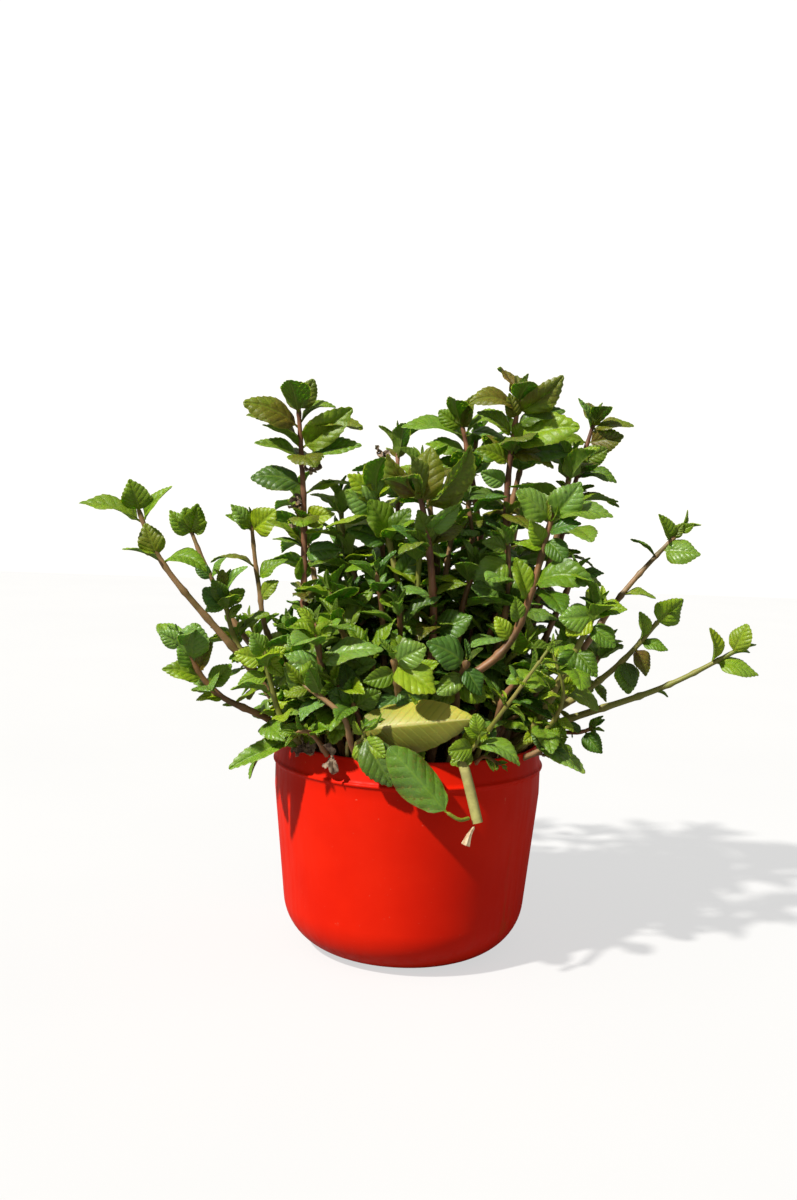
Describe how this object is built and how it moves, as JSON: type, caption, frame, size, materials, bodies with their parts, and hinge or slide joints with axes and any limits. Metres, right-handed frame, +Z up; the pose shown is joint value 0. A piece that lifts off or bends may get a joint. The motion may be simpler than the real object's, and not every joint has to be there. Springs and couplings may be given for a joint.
{
  "type": "potted mint plant",
  "caption": "Bushy mint plant with square branching stems and crinkled toothed leaves, growing in a round red plastic pot with a ridge and collar.",
  "frame": {"origin": "on the pot's axis, at the face that the pot stands on", "axes": "+Z up along the pot's axis; -Y is the front, where the hanging leaf lies over the rim"},
  "size_m": [0.3803, 0.2742, 0.3524],
  "materials": {
    "pot_plastic": "satin",
    "soil": "matte",
    "stem": "satin",
    "leaf": "satin",
    "yellow_leaf": "satin",
    "old_stem": "matte",
    "husk": "matte"
  },
  "bodies": {
    "root": {"pot": "pot_plastic", "soil": "soil", "stem_left_tall": "stem", "crown_left_tall": "leaf", "stem_left_far": "stem", "crown_left_far": "leaf", "stem_left_second": "stem", "crown_left_second": "leaf", "stem_left_third": "stem", "crown_left_third": "leaf", "stem_left_low": "stem", "crown_left_low": "leaf", "stem_left_cluster": "stem", "crown_left_cluster": "leaf", "stem_left_front": "stem", "crown_left_front": "leaf", "stem_centre_pale": "stem", "crown_centre_pale": "leaf", "stem_centre_purple": "stem", "crown_centre_purple": "leaf", "stem_top_left": "stem", "crown_top_left": "leaf", "stem_top_middle": "stem", "crown_top_middle": "leaf", "stem_top_right": "stem", "crown_top_right": "leaf", "stem_right_pale": "stem", "crown_right_pale": "leaf", "stem_right_high": "stem", "crown_right_high": "leaf", "stem_right_round": "stem", "crown_right_round": "leaf", "stem_right_far": "stem", "crown_right_far": "leaf", "stem_right_group": "stem", "crown_right_group": "leaf", "stem_right_dark": "stem", "crown_right_dark": "leaf", "stem_front_middle": "stem", "crown_front_middle": "leaf", "stem_front_right": "stem", "crown_front_right": "leaf", "stem_centre_right": "stem", "crown_centre_right": "leaf", "stem_back_left": "stem", "crown_back_left": "leaf", "stem_back_middle": "stem", "crown_back_middle": "leaf", "stem_back_right": "stem", "crown_back_right": "leaf", "stem_back_low": "stem", "crown_back_low": "leaf", "yellow_leaf": "yellow_leaf", "left_rim_leaf": "leaf", "left_low_leaf": "leaf", "right_rim_leaf": "leaf", "hanging_leaf": "leaf", "cut_stem": "old_stem", "dried_husk": "husk"}
  },
  "joints": []
}
